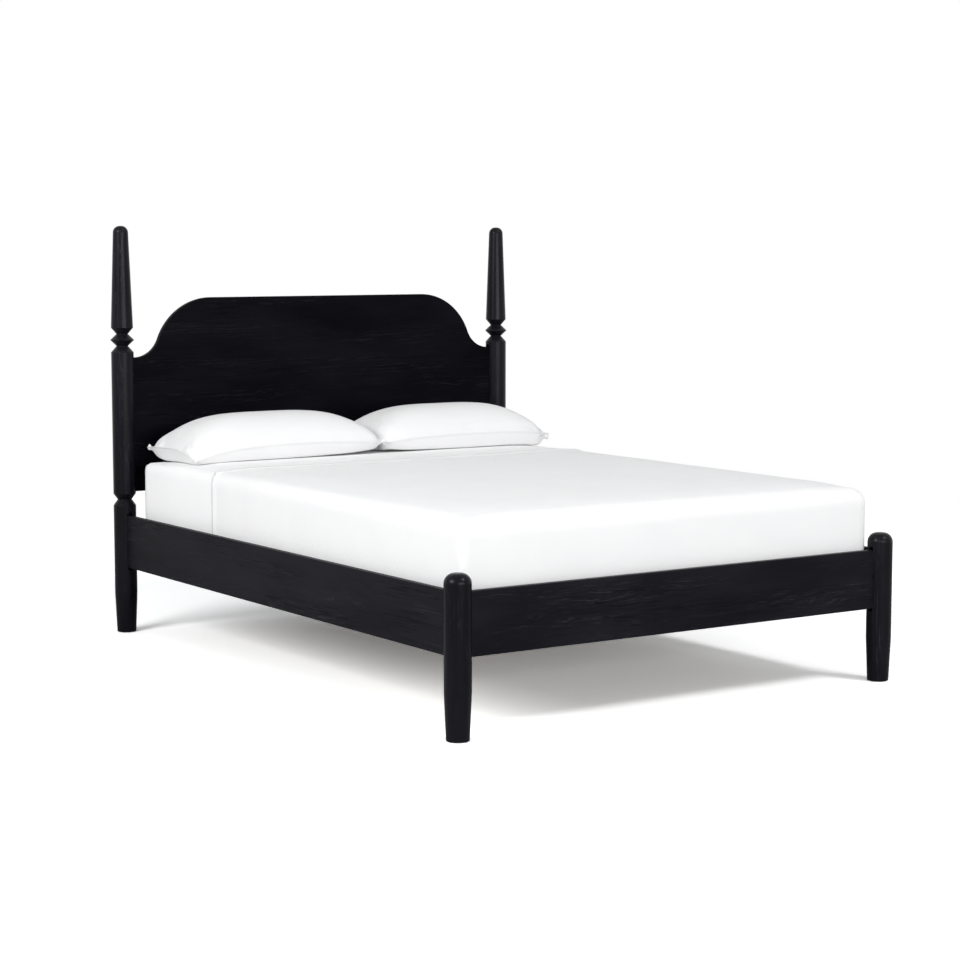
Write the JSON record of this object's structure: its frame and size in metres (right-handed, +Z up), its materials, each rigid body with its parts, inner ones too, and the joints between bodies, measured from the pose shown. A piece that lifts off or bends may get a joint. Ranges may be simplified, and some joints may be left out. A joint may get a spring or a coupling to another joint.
{
  "type": "two-poster bed",
  "caption": "Bed with two tall turned head posts, two short foot posts, a headboard with curved shoulders, housed rails, a slatted deck with a centre leg, a mattress, sheets and pillows.",
  "frame": {"origin": "on the floor under the middle of the bed", "axes": "+X towards the right side seen from the foot, +Y from foot to head, +Z up"},
  "size_m": [1.673, 2.2389, 1.435],
  "materials": {
    "stained_wood": "satin near-black stain",
    "plain_wood": "planed, unfinished",
    "slat_wood": "planed, unfinished",
    "zinc_steel": "zinc plated",
    "webbing": "woven",
    "glide_plastic": "moulded",
    "pad_plastic": "moulded",
    "mattress_cover": "knitted ticking",
    "sheet_cotton": "woven cotton",
    "pillow_cotton": "woven cotton"
  },
  "bodies": {
    "bed_frame": {"foot_post_left": "stained_wood", "foot_post_right": "stained_wood", "head_post_left": "stained_wood", "head_post_right": "stained_wood", "headboard_panel": "stained_wood", "side_rail_left": "stained_wood", "side_rail_right": "stained_wood", "foot_rail": "stained_wood", "head_rail": "stained_wood", "ledger_left": "plain_wood", "ledger_right": "plain_wood", "headboard_dowels": "plain_wood", "centre_beam": "plain_wood", "centre_leg": "plain_wood", "slat_01": "slat_wood", "slat_02": "slat_wood", "slat_03": "slat_wood", "slat_04": "slat_wood", "slat_05": "slat_wood", "slat_06": "slat_wood", "slat_07": "slat_wood", "slat_08": "slat_wood", "slat_09": "slat_wood", "slat_10": "slat_wood", "slat_11": "slat_wood", "slat_12": "slat_wood", "slat_13": "slat_wood", "slat_14": "slat_wood", "corner_plates": "zinc_steel", "corner_plate_screws": "zinc_steel", "corner_bolts": "zinc_steel", "corner_washers": "zinc_steel", "corner_nuts": "zinc_steel", "ledger_screws": "zinc_steel", "slat_screws": "zinc_steel", "beam_hanger_foot": "zinc_steel", "beam_hanger_head": "zinc_steel", "beam_hanger_screws": "zinc_steel", "centre_leg_stud": "zinc_steel", "centre_leg_insert": "zinc_steel", "slat_strap_left": "webbing", "slat_strap_right": "webbing", "post_glides": "glide_plastic"},
    "mattress": {"mattress": "mattress_cover", "fitted_sheet": "sheet_cotton", "top_sheet": "sheet_cotton"},
    "pillow_left": {"pillow_left": "pillow_cotton"},
    "pillow_right": {"pillow_right": "pillow_cotton"},
    "levelling_foot": {"levelling_foot_stud": "zinc_steel", "levelling_foot_pad": "pad_plastic"}
  },
  "joints": [
    {"name": "mattress_lift", "type": "slide", "parent": "bed_frame", "child": "mattress", "axis": [0, 0, 1], "range_m": [0, 0.2]},
    {"name": "pillow_left_lift", "type": "slide", "parent": "pillow_right", "child": "pillow_left", "axis": [0, 0, 1], "range_m": [0, 0.2]},
    {"name": "pillow_right_lift", "type": "slide", "parent": "mattress", "child": "pillow_right", "axis": [0, 0, 1], "range_m": [0, 0.2]},
    {"name": "levelling_foot_screw", "type": "slide", "parent": "bed_frame", "child": "levelling_foot", "axis": [0, 0, 1], "range_m": [-0.01, 0.01]}
  ]
}
